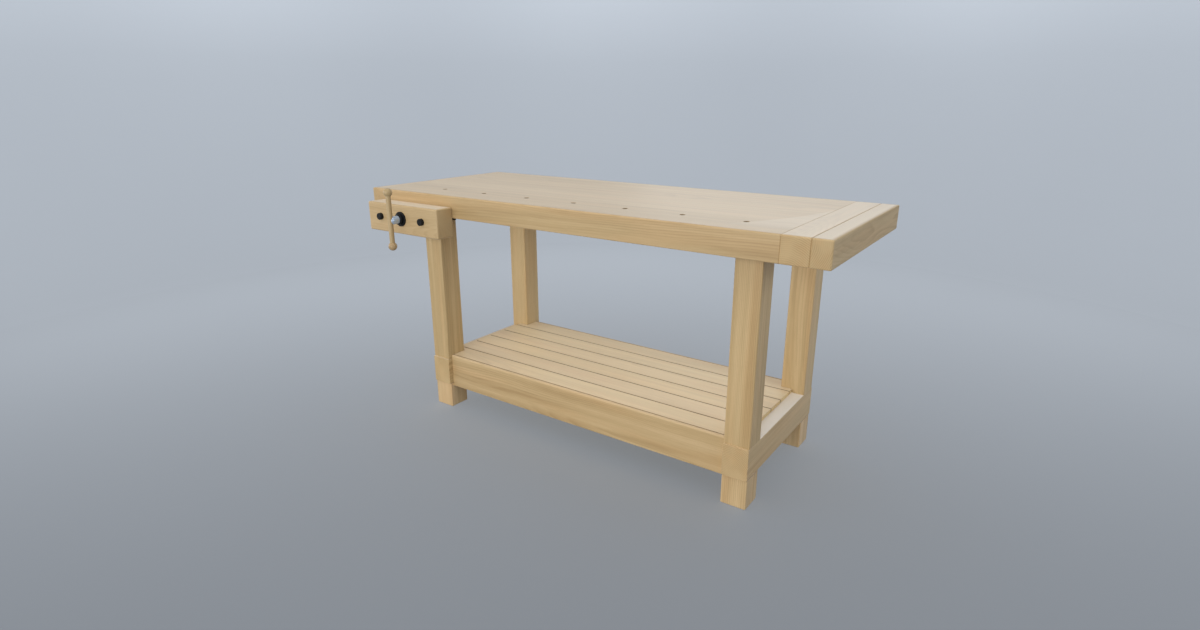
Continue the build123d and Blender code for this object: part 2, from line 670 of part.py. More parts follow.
# Front jaw: bored for the rods and the screw, with a pocket for the screw's thrust flange.
with BuildPart() as vise_jaw:
    with BuildSketch(Plane.XY.offset(jaw_top - jaw_height)):
        with Locations((jaw_mid_x, (jaw_front + jaw_back) / 2)):
            Rectangle(jaw_length, jaw_thickness)
    extrude(amount=jaw_height)
    back_edges = vise_jaw.faces().sort_by(Axis.Y)[-1].edges()
    fillet(vise_jaw.edges() - back_edges, radius=jaw_edge_radius)
    chamfer(vise_jaw.faces().filter_by(Axis.Y).sort_by(Axis.Y)[-1].edges(), length=jaw_back_ease)
    with BuildSketch(facing_back(vise_x, jaw_front, vise_z)):
        with Locations((-rod_spacing / 2, 0), (rod_spacing / 2, 0)):
            Circle(rod_radius)
        Circle(screw_radius + screw_clearance)
    extrude(amount=jaw_thickness, mode=Mode.SUBTRACT)
    with BuildSketch(facing_back(vise_x, jaw_front, vise_z)):
        Circle(thrust_radius + screw_clearance)
    extrude(amount=thrust_pocket, mode=Mode.SUBTRACT)
vise_jaw.part.label = "vise_jaw"
export_step(vise_jaw.part, "parts/vise_jaw.step")

cap_front = jaw_front - rod_cap_length
for side_name, x in (("left", rod_xs[0]), ("right", rod_xs[1])):
    # Guide rod: fixed in the jaw, free in its bush, cross-drilled for the stop pin.
    with BuildPart() as guide_rod:
        with BuildSketch(facing_back(x, jaw_front - rod_in_cap, vise_z)):
            Circle(rod_radius)
        extrude(amount=rod_end - jaw_front + rod_in_cap)
        chamfer(guide_rod.faces().sort_by(Axis.Y)[-1].edges(), length=rod_cap_ease)
        with BuildSketch(facing_right(x - rod_radius, stop_pin_y, vise_z)):
            Circle(stop_pin_radius)
        extrude(amount=2 * rod_radius, mode=Mode.SUBTRACT)
    guide_rod.part.label = "guide_rod_" + side_name
    export_step(guide_rod.part, "parts/guide_rod_" + side_name + ".step")

# Black caps on the front ends of the rods.
with BuildPart() as rod_caps:
    with BuildSketch(facing_back(vise_x, cap_front, vise_z)):
        with Locations((-rod_spacing / 2, 0), (rod_spacing / 2, 0)):
            Circle(rod_cap_radius)
    extrude(amount=rod_cap_length)
    chamfer(rod_caps.faces().group_by(Axis.Y)[0].edges(), length=rod_cap_ease)
    with BuildSketch(facing_back(vise_x, jaw_front - rod_in_cap, vise_z)):
        with Locations((-rod_spacing / 2, 0), (rod_spacing / 2, 0)):
            Circle(rod_radius)
    extrude(amount=rod_in_cap, mode=Mode.SUBTRACT)
rod_caps.part.label = "rod_caps"
export_step(rod_caps.part, "parts/rod_caps.step")

# Cross pins that stop the rods at full opening.
with BuildPart() as rod_stop_pins:
    for x in rod_xs:
        with BuildSketch(facing_right(x - stop_pin_length / 2, stop_pin_y, vise_z)):
            Circle(stop_pin_radius)
        extrude(amount=stop_pin_length)
rod_stop_pins.part.label = "rod_stop_pins"
export_step(rod_stop_pins.part, "parts/rod_stop_pins.step")

# Stepped collar on the jaw: it keeps the screw's thrust flange in the pocket behind it.
collar_bore = screw_radius + screw_clearance
collar_length = collar_flange_thickness + collar_boss_length
with BuildPart() as screw_collar:
    with BuildSketch(turned(vise_x, jaw_front, vise_z)):
        with BuildLine():
            Polyline(
                (0, collar_bore),
                (0, collar_flange_radius),
                (collar_flange_thickness - collar_ease, collar_flange_radius),
                (collar_flange_thickness, collar_flange_radius - collar_ease),
                (collar_flange_thickness, collar_boss_radius),
                (collar_length - collar_ease, collar_boss_radius),
                (collar_length, collar_boss_radius - collar_ease),
                (collar_length, collar_bore),
                close=True,
            )
        make_face()
    revolve(axis=Axis((vise_x, jaw_front, vise_z), (0, -1, 0)))
screw_collar.part.label = "screw_collar"
export_step(screw_collar.part, "parts/screw_collar.step")

# ================================================================ screw and handle
hub_back = collar_length + end_play
hub_front = handle_reach + hub_nose
neck_end = handle_reach - handle_radius - handle_clearance - hub_wall_at_neck
screw_end = boss_back + jaw_travel + screw_point_ease

# Screw: neck in the hub, plain journal through collar and jaw, thrust flange, long shank.
with BuildPart() as vise_screw:
    with BuildSketch(turned(vise_x, jaw_front, vise_z)):
        with BuildLine():
            Polyline(
                (neck_end, 0),
                (neck_end, screw_neck_radius),
                (hub_back, screw_neck_radius),
                (hub_back, screw_radius),
                (-end_play / 2, screw_radius),
                (-end_play / 2, thrust_radius),
                (-end_play / 2 - thrust_thickness, thrust_radius),
                (-end_play / 2 - thrust_thickness, screw_radius),
                (jaw_front - screw_end + screw_point_ease, screw_radius),
                (jaw_front - screw_end, screw_radius - screw_point_ease),
                (jaw_front - screw_end, 0),
                close=True,
            )
        make_face()
    revolve(axis=Axis((vise_x, jaw_front, vise_z), (0, -1, 0)))
    with BuildSketch(facing_right(vise_x - hub_radius, jaw_front - hub_back - hub_pin_setback, vise_z)):
        Circle(hub_pin_radius)
    extrude(amount=2 * hub_radius, mode=Mode.SUBTRACT)
vise_screw.part.label = "vise_screw"
export_step(vise_screw.part, "parts/vise_screw.step")

# Hub: turned, cross-bored for the handle. The bore breaks through the rounded front as a slot that
# is narrower than the handle, so the handle slides in it and can't come out forwards.
with BuildPart() as screw_hub:
    with BuildSketch(turned(vise_x, jaw_front, vise_z)):
        with BuildLine():
            Polyline(
                (hub_front, hub_tip_radius),
                (hub_front, 0),
                (hub_back, 0),
                (hub_back, hub_radius - hub_ease),
                (hub_back + hub_ease, hub_radius),
                (hub_front - hub_round, hub_radius),
            )
            TangentArc(
                (hub_front - hub_round, hub_radius),
                (hub_front, hub_tip_radius),
                tangent=(1, 0),
            )
        make_face()
    revolve(axis=Axis((vise_x, jaw_front, vise_z), (0, -1, 0)))
    with BuildSketch(turned(vise_x, jaw_front, vise_z)):
        with Locations(((hub_back + neck_end) / 2, screw_neck_radius / 2)):
            Rectangle(neck_end - hub_back, screw_neck_radius)
    revolve(axis=Axis((vise_x, jaw_front, vise_z), (0, -1, 0)), mode=Mode.SUBTRACT)
    with BuildSketch(Plane.XY.offset(vise_z - hub_radius)):
        with Locations((vise_x, handle_y)):
            Circle(handle_radius + handle_clearance)
    extrude(amount=2 * hub_radius, mode=Mode.SUBTRACT)
    with BuildSketch(facing_right(vise_x - hub_radius, jaw_front - hub_back - hub_pin_setback, vise_z)):
        Circle(hub_pin_radius)
    extrude(amount=2 * hub_radius, mode=Mode.SUBTRACT)
screw_hub.part.label = "screw_hub"
export_step(screw_hub.part, "parts/screw_hub.step")

# Pin through the hub and the neck of the screw.
with BuildPart() as hub_pin:
    with BuildSketch(facing_right(vise_x - hub_radius, jaw_front - hub_back - hub_pin_setback, vise_z)):
        Circle(hub_pin_radius)
    extrude(amount=2 * hub_radius)
hub_pin.part.label = "hub_pin"
export_step(hub_pin.part, "parts/hub_pin.step")

knob_face_gap = knob_spacing / 2 - knob_shoulder
bar_half = knob_face_gap + knob_socket
# Turned handle bar.
with BuildPart() as handle_bar:
    with BuildSketch(Plane.XY.offset(handle_z - bar_half)):
        with Locations((vise_x, handle_y)):
            Circle(handle_radius)
    extrude(amount=2 * bar_half)
handle_bar.part.label = "handle_bar"
export_step(handle_bar.part, "parts/handle_bar.step")

shoulder_radius = sqrt(knob_radius**2 - knob_shoulder**2)
for end_name, up in (("top", 1), ("bottom", -1)):
    knob_z = handle_z + up * knob_spacing / 2
    # Ball knob with a flat shoulder and a socket for the bar.
    with BuildPart() as handle_knob:
        with BuildSketch(Plane(origin=(vise_x, handle_y, knob_z), x_dir=(1, 0, 0), z_dir=(0, -up, 0))):
            with BuildLine():
                Line((0, knob_radius), (0, -knob_shoulder))
                Line((0, -knob_shoulder), (shoulder_radius, -knob_shoulder))
                ThreePointArc(
                    (shoulder_radius, -knob_shoulder),
                    (knob_radius, 0),
                    (0, knob_radius),
                )
            make_face()
        revolve(axis=Axis((vise_x, handle_y, knob_z), (0, 0, 1)))
        with BuildSketch(Plane.XY.offset(knob_z - up * knob_shoulder)):
            with Locations((vise_x, handle_y)):
                Circle(handle_radius)
        extrude(amount=up * knob_socket, mode=Mode.SUBTRACT)
    handle_knob.part.label = "handle_knob_" + end_name
    export_step(handle_knob.part, "parts/handle_knob_" + end_name + ".step")
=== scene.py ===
from collections import namedtuple
import json
import math
import random

import bmesh
import bpy
from mathutils import Euler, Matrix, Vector


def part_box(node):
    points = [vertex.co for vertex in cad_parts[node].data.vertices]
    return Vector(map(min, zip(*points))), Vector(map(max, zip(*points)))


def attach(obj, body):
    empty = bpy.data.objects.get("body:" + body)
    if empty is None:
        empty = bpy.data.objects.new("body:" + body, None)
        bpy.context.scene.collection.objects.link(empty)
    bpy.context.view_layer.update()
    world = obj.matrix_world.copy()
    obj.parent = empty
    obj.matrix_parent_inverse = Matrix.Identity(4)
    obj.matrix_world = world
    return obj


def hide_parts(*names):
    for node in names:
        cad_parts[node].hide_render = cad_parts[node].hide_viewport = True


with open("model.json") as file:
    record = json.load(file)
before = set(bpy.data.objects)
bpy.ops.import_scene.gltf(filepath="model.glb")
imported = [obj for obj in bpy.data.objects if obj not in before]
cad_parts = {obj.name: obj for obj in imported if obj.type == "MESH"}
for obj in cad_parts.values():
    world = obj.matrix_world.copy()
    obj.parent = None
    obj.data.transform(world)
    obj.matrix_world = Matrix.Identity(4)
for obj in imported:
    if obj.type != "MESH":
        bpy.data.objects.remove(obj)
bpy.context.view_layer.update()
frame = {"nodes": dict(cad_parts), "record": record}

# ---------------------------------------------------------------- camera
# Where the photo was taken from, solved on the bench's straight edges.
CAMERA_AT = (1.4004, -2.0140, 1.2603)
CAMERA_TILT = math.radians(72.1)
CAMERA_TURN = math.radians(35.0)
SENSOR_WIDTH_MM = 36.0
FOCAL_LENGTH_MM = 20.27
VIEW_END = 60.0

lens = bpy.data.cameras.new("camera")
lens.sensor_width = SENSOR_WIDTH_MM
lens.lens = FOCAL_LENGTH_MM
lens.clip_end = VIEW_END
camera = bpy.data.objects.new("camera", lens)
camera.location = CAMERA_AT
camera.rotation_euler = (CAMERA_TILT, 0.0, CAMERA_TURN)
bpy.context.scene.collection.objects.link(camera)
bpy.context.scene.camera = camera
bpy.context.scene.view_settings.view_transform = "Standard"

# ---------------------------------------------------------------- node trees
WHITE = (1.0, 1.0, 1.0)
AXES = {"X": (1.0, 0.0, 0.0), "Y": (0.0, 1.0, 0.0), "Z": (0.0, 0.0, 1.0)}


def opaque(colour):
    """Three numbers with an alpha of 1; a socket stays as it is."""
    return colour if isinstance(colour, bpy.types.NodeSocket) else (*colour, 1.0)


class Nodes:
    """A material's node tree. A socket given as a value is linked, anything else is set."""

    def __init__(self, name):
        self.material = bpy.data.materials.new(name)
        self.material.use_nodes = True
        self.tree = self.material.node_tree
        self.tree.nodes.clear()
        coordinates = self.add("TexCoord").outputs
        self.place = coordinates["Object"]
        self.normal = coordinates["Normal"]

    def give(self, socket, value):
        if isinstance(value, bpy.types.NodeSocket):
            self.tree.links.new(value, socket)
        else:
            socket.default_value = value

    def add(self, kind, values=(), **settings):
        """A new node, with its settings and the values of its sockets."""
        node = self.tree.nodes.new("ShaderNode" + kind)
        for key, value in settings.items():
            setattr(node, key, value)
        for key, value in dict(values).items():
            self.give(node.inputs[key], value)
        return node

    def math(self, operation, first, second=0.0, third=0.0):
        return self.add("Math", {0: first, 1: second, 2: third}, operation=operation).outputs[0]

    def times(self, value, factor, plus=0.0):
        """The value times the factor, and something added."""
        return self.math("MULTIPLY_ADD", value, factor, plus)

    def vector(self, operation, first, second=(0.0, 0.0, 0.0)):
        node = self.add("VectorMath", {0: first, 1: second}, operation=operation)
        return node.outputs["Value" if operation in ("LENGTH", "DOT_PRODUCT") else "Vector"]

    def split(self, vector):
        """The X, Y and Z of a vector."""
        return self.add("SeparateXYZ", {"Vector": vector}).outputs

    def noise(self, at, scale, detail=2.0, rough=0.5, output="Fac"):
        """Noise with a scale for each axis: how many features it has to a metre."""
        scaled = self.vector("MULTIPLY", at, scale)
        values = {"Vector": scaled, "Scale": 1.0, "Detail": detail, "Roughness": rough}
        return self.add("TexNoise", values).outputs[output]

    def spread(self, value, low, high, to_low=0.0, to_high=1.0):
        """A smooth step of the value: to_low up to low, and to_high from high."""
        values = {"Value": value, "From Min": low, "From Max": high, "To Min": to_low, "To Max": to_high}
        return self.add("MapRange", values, interpolation_type="SMOOTHSTEP").outputs["Result"]

    def ramp(self, value, stops):
        """The colours at their places along the value, and all between them."""
        node = self.add("ValToRGB", {"Fac": value})
        elements = node.color_ramp.elements
        while len(elements) < len(stops):
            elements.new(1.0)
        for element, (place, colour) in zip(elements, stops):
            element.position = place
            element.color = opaque(colour)
        return node.outputs["Color"]

    def mix(self, share, first, second, blend="MIX"):
        """The first colour with a share of the second."""
        values = {0: share, 6: opaque(first), 7: opaque(second)}
        return self.add("Mix", values, data_type="RGBA", blend_type=blend).outputs[2]

    def shade(self, height=None, relief=0.0, strength=1.0, **values):
        """The finished material; relief is how deep the height's bumps are, in metres."""
        named = {key.replace("_", " "): value for key, value in values.items()}
        shader = self.add("BsdfPrincipled", named)
        if height is not None:
            bump = self.add("Bump", {"Height": height, "Distance": relief, "Strength": strength})
            self.give(shader.inputs["Normal"], bump.outputs["Normal"])
        self.add("OutputMaterial", {"Surface": shader.outputs["BSDF"]})
        return self.material


def dress(piece, material):
    """Puts the material in every slot of the piece."""
    if not piece.material_slots:
        piece.data.materials.append(material)
    for slot in piece.material_slots:
        slot.material = material


def by_start(table, node, otherwise):
    """The value of the first name in the table that the node's name starts with."""
    return next((value for start, value in table.items() if node.startswith(start)), otherwise)


# ---------------------------------------------------------------- wood: colours and patterns
PALE = (0.600, 0.440, 0.232)
MIDDLE = (0.515, 0.366, 0.178)
DARK = (0.410, 0.276, 0.122)
DEEP = (0.290, 0.185, 0.080)
# The pale colour that is painted on upward faces as sheen.
PAINTED_SHEEN_COLOUR = (0.90, 0.85, 0.76)
# Brown painted shade: on the slats' long sides in their gaps, and on the dog holes' walls.
PAINTED_SHADE = (0.120, 0.080, 0.040)
# Brown painted shade in a band along the slats' long edges, at their gaps.
GAP_SHADE_BROWN = (0.220, 0.120, 0.045)
RED_TINT = (1.03, 0.955, 0.90)

# The turn that lays a board's grain along X, and how far one board's wood is from the next one's.
GRAIN_TURN = {"X": (0.0, 0.0, 0.0), "Y": (0.0, 0.0, -math.pi / 2), "Z": (0.0, math.pi / 2, 0.0)}
SEED_STEPS = (3.17, 1.73, 2.39)

# Patterns along the grain: length and width in metres, the noise's detail and roughness, the edge
# that it is sharpened to, and how strongly it shows.
Streaks = namedtuple("Streaks", "length width detail rough edge share", defaults=(2.0, 0.5, None, 1.0))
BROAD = Streaks(length=0.80, width=0.030, detail=1.0, share=0.62)
BANDS = Streaks(length=0.42, width=0.013, rough=0.55, share=0.46)
FLECKS = Streaks(length=0.060, width=0.0045, rough=0.6, share=0.20)
FIBRES = Streaks(length=0.050, width=0.0011, rough=0.6, share=0.12)
PORES = Streaks(length=0.016, width=0.0009, detail=1.0, edge=(0.66, 0.74), share=0.26)
RED_PATCHES = Streaks(length=0.55, width=0.045, detail=1.0, edge=(0.40, 0.66), share=0.55)
RING_WAVES = Streaks(length=0.20, width=0.020)
LATE_PATCHES = Streaks(length=0.7, width=0.09, detail=1.0, edge=(0.36, 0.60, 0.15, 1.0))

# Growth rings: their width, how many rings their waves shift them by, how far the pith line
# wanders, and how dark a ring is along its width.
RING = 0.0052
RING_SHIFT = 1.1
WANDER = (0.0, 0.07, 0.07)
WANDER_SCALE = (1.1, 2.6, 2.6)
RING_SHADES = ((0.0, 0.0), (0.50, 0.25), (0.84, 1.0), (1.0, 0.0))
LATE_SHARE = 0.26
LATE_EXTRA_ON_ENDS = 0.38

# From the darkness that the patterns add up to, to the wood's colour. The darkness that counts as
# none has a fixed part and a part that goes with how strong the figure is.
WOOD_SHADES = ((0.0, PALE), (0.24, MIDDLE), (0.52, DARK))
NO_DARKNESS = 0.06
NO_DARKNESS_FIGURED = 0.43

# How much of its normal lies along an axis for a face to look that way: not at all up to the first
# number, and fully from the second. An end keeps little of what runs along the board.
END_FACING = (0.60, 0.95)
SIDE_FACING = (0.70, 0.95)
# The upward faces get the painted sheen.
UP_FACING = (0.42, 0.96)
STREAKS_ON_ENDS = 0.15
END_DARKNESS = 0.16

# How dull the wood is, and how deep its pores and late wood lie under its fibres.
ROUGHNESS = 0.39
FIBRE_ROUGHNESS = 0.14
END_ROUGHNESS = 0.12
SHEEN = 0.10
SHEEN_ROUGHNESS = 0.45
WOOD_RELIEF = 0.00015
RELIEF_STRENGTH = 0.7
PORE_HOLLOW = 0.5
LATE_HOLLOW = 0.25

# Painted light: the width of the rim that the painted sheen leaves out, and the painted shade in
# the gaps between the slats: a band along their long edges and a darker colour on their long sides.
SHEEN_FREE_RIM = 0.015
GAP_SHADE_WIDTH = 0.0028
GAP_SHADE_SHARE = 0.66
SIDE_SHADE_SHARE = 0.72

# The wedge on the top where the painted sheen is stronger: its tip and depth, the run and bend of
# its side, how soft that side is, and where the wedge fades in along Y from its tip.
WEDGE_TIP = (0.630, -0.161, 0.0)
WEDGE_DEPTH = 0.383
WEDGE_RUN = 0.243
WEDGE_BEND = 0.099
WEDGE_SOFT = 0.012
WEDGE_START = (-0.10, 0.01)

# The painted shade on the walls of the dog holes reaches a little into the wood, and stops a little
# short of both ends.
BORE_SKIN = 0.0004
BORE_TOP = 0.0015
BORE_END = 0.001


class Wood(Nodes):
    """Hardwood as a solid pattern in a board's own frame, with X along its grain: rings round a
    leaning pith line, and bands, flecks, fibres and pores along the grain."""

    def __init__(self, node, grain, seed):
        super().__init__("wood_" + node)
        self.low, self.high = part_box(node)
        middle = Euler(GRAIN_TURN[grain]).to_matrix() @ ((self.low + self.high) / 2)
        mapping = {"Vector": self.place, "Rotation": GRAIN_TURN[grain], "Location": -middle}
        self.along = self.add("Mapping", mapping).outputs["Vector"]
        self.own = self.vector("ADD", self.along, [seed * step for step in SEED_STEPS])
        self.end = self.facing(grain, END_FACING)
        self.fibres = self.streaks(FIBRES)
        self.pores = self.streaks(PORES)

    def facing(self, axis, shares):
        """1 on the faces that look along the axis, either way, and 0 on the others."""
        along = self.math("ABSOLUTE", self.vector("DOT_PRODUCT", self.normal, AXES[axis]))
        return self.spread(along, *shares)

    def streaks(self, kind):
        """Noise drawn out along the grain, and sharpened where its kind has an edge."""
        scale = (1 / kind.length, 1 / kind.width, 1 / kind.width)
        streaks = self.noise(self.own, scale, detail=kind.detail, rough=kind.rough)
        return self.spread(streaks, *kind.edge) if kind.edge else streaks

    def late_wood(self, pith, lean):
        """1 at the dark line of each ring, weaker in patches. A ring is a step of the distance from
        a pith line that leans and wanders along the board."""
        wander = self.noise(self.own, WANDER_SCALE, detail=1.0, output="Color")
        wander = self.vector("MULTIPLY", self.vector("SUBTRACT", wander, (0.5, 0.5, 0.5)), WANDER)
        run = self.math("MULTIPLY", self.split(self.along)["X"], lean)
        run = self.add("CombineXYZ", {"Y": run, "Z": run}).outputs["Vector"]
        across = self.vector("MULTIPLY", self.along, (0.0, 1.0, 1.0))
        for shift in (wander, run, (0.0, -pith[0], -pith[1])):
            across = self.vector("ADD", across, shift)
        rings = self.math("DIVIDE", self.vector("LENGTH", across), RING)
        rings = self.math("FRACT", self.times(self.streaks(RING_WAVES), RING_SHIFT, rings))
        late = self.ramp(rings, [(place, (dark,) * 3) for place, dark in RING_SHADES])
        return self.math("MULTIPLY", late, self.streaks(LATE_PATCHES))

    def raw(self, late, figure):
        """The colour of the raw wood, with its figure as strong as figure says."""
        kept = self.times(self.end, STREAKS_ON_ENDS - 1, 1.0)
        late_share = self.times(self.end, LATE_EXTRA_ON_ENDS, LATE_SHARE * figure)
        darkness = self.math("MULTIPLY", late, late_share)
        for kind, strength in ((BROAD, figure), (BANDS, figure), (FLECKS, 1.0)):
            pattern = self.times(self.math("SUBTRACT", self.streaks(kind), 0.5), kept, 0.5)
            darkness = self.times(pattern, kind.share * strength, darkness)
        darkness = self.times(self.fibres, FIBRES.share, darkness)
        darkness = self.math("SUBTRACT", darkness, NO_DARKNESS + NO_DARKNESS_FIGURED * figure)
        colour = self.ramp(darkness, WOOD_SHADES)
        red = self.math("MULTIPLY", self.streaks(RED_PATCHES), RED_PATCHES.share)
        colour = self.mix(red, colour, self.mix(1.0, colour, RED_TINT, "MULTIPLY"))
        colour = self.mix(self.math("MULTIPLY", self.pores, PORES.share), colour, DEEP)
        return self.mix(self.math("MULTIPLY", self.end, END_DARKNESS), colour, DARK)

    def room(self, low, high):
        """How far inside a box the place is, along each axis."""
        away = self.vector("ABSOLUTE", self.vector("SUBTRACT", self.place, (low + high) / 2))
        return self.split(self.vector("SUBTRACT", (high - low) / 2, away))

    def faded(self, colour, sheen_share, rim, wedge):
        """The colour with a pale painted sheen on the upward faces, apart from the rim, which it leaves
        out.
        """
        upward = self.spread(self.vector("DOT_PRODUCT", self.normal, AXES["Z"]), *UP_FACING)
        # The rim keeps the darker colour without painted sheen.
        if rim:
            room = self.room(*rim)
            inside = self.spread(self.math("MINIMUM", room["X"], room["Y"]), 0.0, SHEEN_FREE_RIM)
            upward = self.math("MULTIPLY", upward, inside)
        if wedge:
            sheen_share = self.times(self.pale_wedge(), wedge, sheen_share)
        return self.mix(self.math("MULTIPLY", upward, sheen_share), colour, PAINTED_SHEEN_COLOUR)

    def pale_wedge(self):
        """1 in a wedge of the top where the painted sheen is stronger; the wedge opens from the last dog
        hole to the right end cap.
        """
        at = self.split(self.vector("SUBTRACT", self.place, WEDGE_TIP))
        share = self.math("DIVIDE", at["Y"], WEDGE_DEPTH)
        side = self.math("MULTIPLY", share, self.times(share, -WEDGE_BEND, WEDGE_RUN))
        beyond = self.spread(self.math("SUBTRACT", at["X"], side), 0.0, WEDGE_SOFT)
        return self.math("MULTIPLY", beyond, self.spread(at["Y"], *WEDGE_START))

    def dusty(self, colour):
        """The colour with painted shade on the board's long sides, which face the gaps between the slats.
        """
        return self.mix(self.math("MULTIPLY", self.facing("Y", SIDE_FACING), SIDE_SHADE_SHARE), colour, PAINTED_SHADE)

    def seamed(self, colour):
        """The colour with a band of painted shade along the board's long edges, at the slats' gaps."""
        edge = self.spread(self.room(self.low, self.high)["Y"], 0.0, GAP_SHADE_WIDTH, 1.0, 0.0)
        return self.mix(self.math("MULTIPLY", edge, GAP_SHADE_SHARE), colour, GAP_SHADE_BROWN)

    def bored(self, colour):
        """The colour with painted shade on the walls of the dog holes, whose row the record's mounts
        place.
        """
        mounts = frame["record"]["mounts"]
        first, second = [mount for mount in mounts if mount["name"].startswith("dog_hole")][:2]
        pitch = second["pos_m"][0] - first["pos_m"][0]
        radius = first["dims"]["r_mm"] / 1000
        length = first["dims"]["length_mm"] / 1000
        at = self.split(self.vector("SUBTRACT", self.place, first["pos_m"]))
        step = self.math("FRACT", self.times(at["X"], 1 / pitch, 0.5))
        x = self.math("MULTIPLY", self.math("SUBTRACT", step, 0.5), pitch)
        off_axis = self.vector("LENGTH", self.add("CombineXYZ", {"X": x, "Y": at["Y"]}).outputs["Vector"])
        inside = self.math("LESS_THAN", off_axis, radius + BORE_SKIN)
        above = self.math("GREATER_THAN", at["Z"], BORE_END - length)
        below = self.math("LESS_THAN", at["Z"], -BORE_TOP)
        walls = self.math("MULTIPLY", inside, self.math("MULTIPLY", above, below))
        return self.mix(walls, colour, PAINTED_SHADE)

    def finished(self, colour, late):
        """The material with the colour, and with fibres and hollows that its light catches on."""
        shine = self.times(self.end, END_ROUGHNESS, self.times(self.fibres, FIBRE_ROUGHNESS, ROUGHNESS))
        height = self.times(self.pores, -PORE_HOLLOW, self.times(late, -LATE_HOLLOW, self.fibres))
        return self.shade(
            height, relief=WOOD_RELIEF, strength=RELIEF_STRENGTH, Base_Color=colour, Roughness=shine,
            Sheen_Weight=SHEEN, Sheen_Roughness=SHEEN_ROUGHNESS,
        )


# ---------------------------------------------------------------- wood: what each board has
# The axis that the grain of each board runs along.
GRAIN = {
    "X": ("top_", "stretcher_front", "stretcher_back", "slat_", "vise_jaw", "rail_dowels"),
    "Y": ("left_end_cap", "right_end_", "side_beam_", "shelf_bearer", "stretcher_pegs"),
    "Z": ("leg_", "foot_", "handle_", "tongue_pegs"),
}
# Where the pith is across the board, along its two other axes, and how it leans: chosen so that the
# widest faces show a flat-sawn figure. The other boards' are drawn.
PITH = {
    "right_end_rail": (0.085, 0.012, 0.035),
    "right_end_cap": (0.02, -0.12, 0.02),
    "stretcher_front": (0.060, -0.030, 0.022),
    "stretcher_back": (-0.060, 0.020, 0.022),
    "vise_jaw": (0.080, -0.050, 0.03),
    "top_dog_board": (0.09, -0.16, 0.012),
    "top_field": (0.03, -0.26, 0.02),
}
# Each board's tint, over the one that is drawn for it. The drawn tint is the wood's own; this one
# is painted light: it makes up for the shade or light at each board's place, paler for the slats,
# feet, legs, beams, stretcher and right end, darker for the top, the jaw and the handle.
PAINTED_LIGHT_TINTS = {
    "handle_": (0.80, 0.81, 0.82),
    "top_dog": (0.895, 0.885, 0.86),
    "top_field": (0.98, 0.98, 0.98),
    "vise_jaw": (0.95, 0.95, 0.95),
    "foot_": (1.22, 1.22, 1.26),
    "leg_back_left": (1.19, 1.22, 1.25),
    "leg_back_right": (1.15, 1.15, 1.17),
    "leg_front_left": (1.06, 1.06, 1.08),
    "leg_front_right": (1.06, 1.04, 1.06),
    "slat_": (1.31, 1.37, 1.42),
    "side_beam": (1.11, 1.12, 1.13),
    "stretcher_front": (1.10, 1.10, 1.08),
    "right_end_cap": (1.07, 1.08, 1.08),
    "right_end_rail": (1.01, 1.03, 1.05),
}
# How strong the figure is, where it isn't 1.
FIGURES = {"vise_jaw": 0.50, "slat_": 0.60, "leg_back": 0.75}
# How strong the painted sheen on the upward faces is, and how much stronger in the wedge.
PAINTED_SHEEN = {
    "handle_": 0.0,
    "slat_": 0.24,
    "side_beam_right": 0.95,
    "side_beam_left": 0.30,
    "right_end": 0.50,
    "top_dog": 0.35,
    "stretcher_": 0.12,
}
USUAL_PAINTED_SHEEN = 0.38
# The wedge where the painted sheen is stronger.
SHEEN_WEDGES = {"top_": 0.14}
# What the drawn pith lines and tints range over.
PITH_ASIDE = (-0.10, 0.10)
PITH_OUT = (0.05, 0.14)
PITH_LEAN = (-0.03, 0.03)
RED_RANGE = (0.965, 1.03)
GREEN_TO_RED = (0.985, 1.01)
BLUE_TO_RED = (0.97, 1.02)


def box_round(nodes):
    """The box round several nodes."""
    boxes = [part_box(node) for node in nodes]
    return (
        Vector([min(low[axis] for low, high in boxes) for axis in range(3)]),
        Vector([max(high[axis] for low, high in boxes) for axis in range(3)]),
    )


# The boxes whose rims the painted sheen leaves out. The top's boards share one box, and the right
# beam's box is widened along X, so that the beam keeps its rim at its two ends alone.
TOP_BOARDS = ("top_dog_board", "top_field", "left_end_cap", "right_end_cap", "right_end_rail")
BEAM_WIDENING = Vector((0.1, 0.0, 0.0))
beam_low, beam_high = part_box("side_beam_right")
SHEEN_FREE_RIMS = dict.fromkeys(TOP_BOARDS, box_round(TOP_BOARDS))
SHEEN_FREE_RIMS["vise_jaw"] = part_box("vise_jaw")
SHEEN_FREE_RIMS["side_beam_right"] = (beam_low - BEAM_WIDENING, beam_high + BEAM_WIDENING)


def draw_pith(draw):
    """A pith line that lies off the board's middle, a little aside and further out, and leans."""
    return (
        draw.uniform(*PITH_ASIDE),
        draw.choice((-1, 1)) * draw.uniform(*PITH_OUT),
        draw.uniform(*PITH_LEAN),
    )


def draw_tone(draw):
    """A board's own slight tint."""
    red = draw.uniform(*RED_RANGE)
    return (red, red * draw.uniform(*GREEN_TO_RED), red * draw.uniform(*BLUE_TO_RED))


